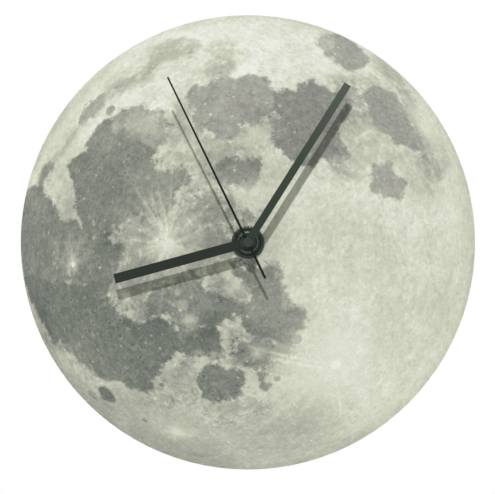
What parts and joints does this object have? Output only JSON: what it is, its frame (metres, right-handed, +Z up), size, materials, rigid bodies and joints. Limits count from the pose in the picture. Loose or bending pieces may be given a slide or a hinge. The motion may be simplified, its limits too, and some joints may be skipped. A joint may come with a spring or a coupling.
{
  "type": "wall clock",
  "caption": "Round wall clock with a picture of the Moon as its dial, three straight black hands and a quartz movement that hangs on a nail.",
  "frame": {"origin": "where the hands' axis meets the wall, on the flat rear face of the movement's housing", "axes": "+Y into the wall, along the hands' axis; +Z up to twelve o'clock; +X to three o'clock seen from the front"},
  "size_m": [0.3, 0.0387, 0.3],
  "materials": {
    "case_plastic": "black moulded, fine matt texture",
    "train_plastic": "natural white moulded, slightly translucent",
    "knob_plastic": "white moulded",
    "hour_wheel_plastic": "black moulded",
    "brass": "turned",
    "steel": "blanked and polished",
    "contact_steel": "nickel plated spring strip",
    "washer_rubber": "black, smooth",
    "magnet": "ferrite, ground",
    "enamelled_wire": "fine enamelled copper wire",
    "board_laminate": "green solder resist",
    "chip_resin": "black resin drop",
    "battery_sleeve": "plain grey sleeve over a metal can",
    "dial_board": "off-white sheet with sawn and sanded edge",
    "moon_film": "printed film, satin, pale greenish white with grey seas",
    "nut_plastic": "black, glossy on its rounded edge",
    "hand_black": "stamped sheet, black satin lacquer",
    "cap_black": "black, satin"
  },
  "bodies": {
    "root": {"rear_housing": "case_plastic", "front_cover": "case_plastic", "middle_plate": "train_plastic", "threaded_bushing": "brass", "rubber_washer": "washer_rubber", "dial_plate": "dial_board", "moon_print": "moon_film", "fixing_nut": "nut_plastic", "stator_plate": "steel", "coil_core": "steel", "coil_bobbin": "case_plastic", "coil_winding": "enamelled_wire", "circuit_board": "board_laminate", "control_chip": "chip_resin", "quartz_crystal": "steel", "positive_contact": "contact_steel", "negative_contact": "contact_steel"},
    "seconds": {"second_hand": "hand_black", "second_hand_cap": "cap_black", "seconds_shaft": "steel", "seconds_wheel": "train_plastic"},
    "minutes": {"minute_hand": "hand_black", "minute_collet": "brass", "minute_tube": "brass", "clutch_spring": "steel"},
    "hours": {"hour_hand": "hand_black", "hour_collet": "brass", "hour_wheel": "hour_wheel_plastic"},
    "third": {"third_wheel": "train_plastic"},
    "centre": {"centre_wheel": "train_plastic"},
    "intermediate": {"intermediate_wheel": "train_plastic"},
    "rotor": {"rotor_magnet": "magnet", "rotor_pinion": "train_plastic"},
    "motion_work": {"minute_wheel": "train_plastic"},
    "setting": {"setting_knob": "knob_plastic", "setting_pinion": "train_plastic"},
    "battery": {"battery_cell": "battery_sleeve"}
  },
  "joints": [
    {"name": "seconds_turn", "type": "hinge", "parent": "root", "child": "seconds", "pos_m": [0, 0, 0], "axis": [0, 1, 0], "continuous": true},
    {"name": "minutes_turn", "type": "hinge", "parent": "root", "child": "minutes", "pos_m": [0, 0, 0], "axis": [0, 1, 0], "continuous": true},
    {"name": "hours_turn", "type": "hinge", "parent": "root", "child": "hours", "pos_m": [0, 0, 0], "axis": [0, 1, 0], "continuous": true},
    {"name": "third_turn", "type": "hinge", "parent": "root", "child": "third", "pos_m": [-0.00985, 0, 0.00264], "axis": [0, 1, 0], "continuous": true},
    {"name": "centre_turn", "type": "hinge", "parent": "root", "child": "centre", "pos_m": [0, 0, 0], "axis": [0, 1, 0], "continuous": true},
    {"name": "intermediate_turn", "type": "hinge", "parent": "root", "child": "intermediate", "pos_m": [0.00187, 0, 0.01058], "axis": [0, 1, 0], "continuous": true},
    {"name": "rotor_turn", "type": "hinge", "parent": "root", "child": "rotor", "pos_m": [0.00781, 0, 0.01652], "axis": [0, 1, 0], "continuous": true},
    {"name": "motion_work_turn", "type": "hinge", "parent": "root", "child": "motion_work", "pos_m": [0.00979, 0, 0.00262], "axis": [0, 1, 0], "continuous": true},
    {"name": "setting_turn", "type": "hinge", "parent": "root", "child": "setting", "pos_m": [0.01944, 0, 0.00712], "axis": [0, 1, 0], "continuous": true},
    {"name": "battery_slide", "type": "slide", "parent": "root", "child": "battery", "axis": [0, 1, 0], "range_m": [0, 0.02]}
  ],
  "couplings": [
    {"joint": "intermediate_turn", "follows": "seconds_turn", "ratio": -5},
    {"joint": "rotor_turn", "follows": "seconds_turn", "ratio": 30},
    {"joint": "third_turn", "follows": "seconds_turn", "ratio": -0.13333},
    {"joint": "centre_turn", "follows": "seconds_turn", "ratio": 0.016667},
    {"joint": "motion_work_turn", "follows": "minutes_turn", "ratio": -0.33333},
    {"joint": "hours_turn", "follows": "minutes_turn", "ratio": 0.083333},
    {"joint": "setting_turn", "follows": "minutes_turn", "ratio": 0.83333}
  ]
}
